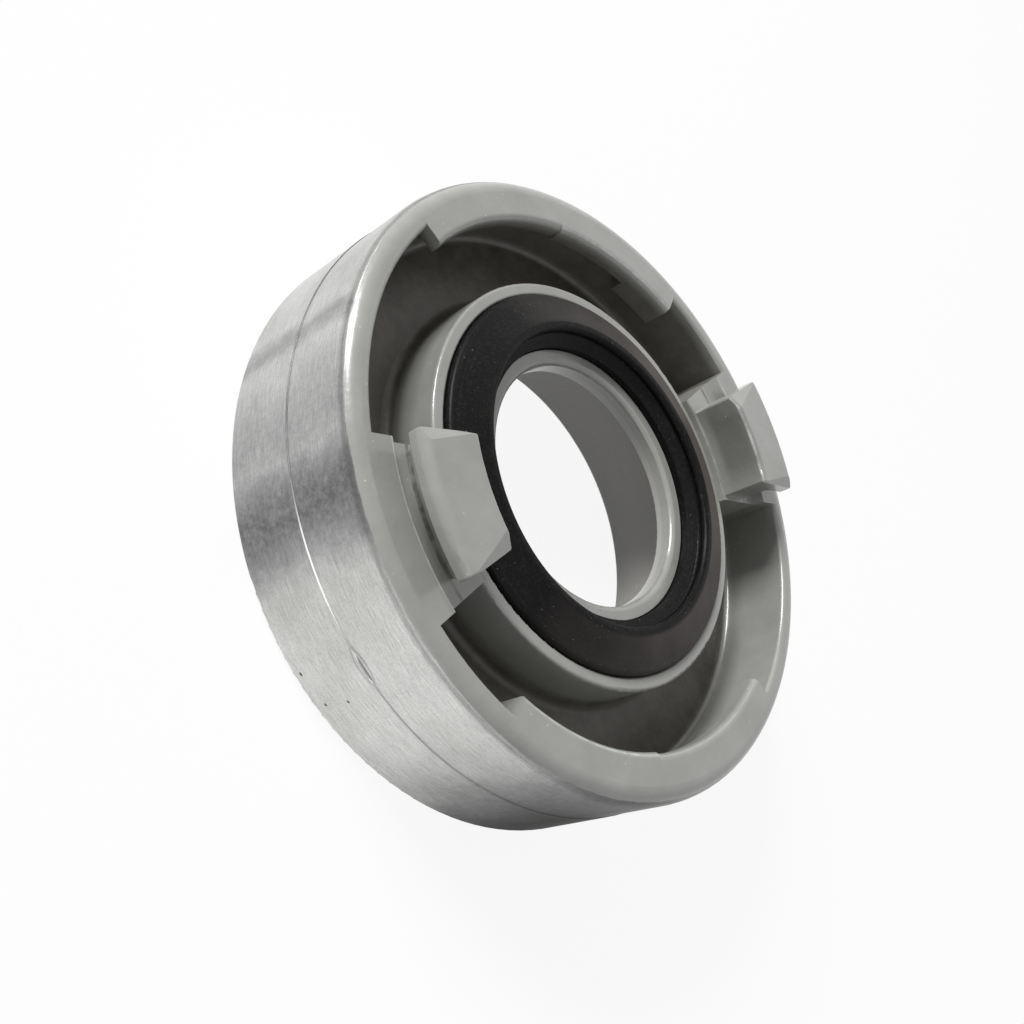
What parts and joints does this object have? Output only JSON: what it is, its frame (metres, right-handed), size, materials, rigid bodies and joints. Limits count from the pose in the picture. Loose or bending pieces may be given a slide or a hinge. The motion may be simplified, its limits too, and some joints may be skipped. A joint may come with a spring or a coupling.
{
  "type": "quarter turn fire hose coupling",
  "caption": "Round coupling half for fire hose: drum with inward flange sectors, outward claws, central nozzle with rubber sealing ring, and a plain pipe socket in the back.",
  "frame": {"origin": "centre of the flat back face", "axes": "+Z along the coupling's axis, out of the claw side; the claws stand on the Y axis"},
  "size_m": [0.0982, 0.0982, 0.0323],
  "materials": {
    "casting": "light grey coating on the claw side and inside, bare fine-turned metal outside",
    "rubber": "matt black with dust"
  },
  "bodies": {
    "root": {"coupling_body": "casting", "sealing_ring": "rubber"}
  },
  "joints": []
}
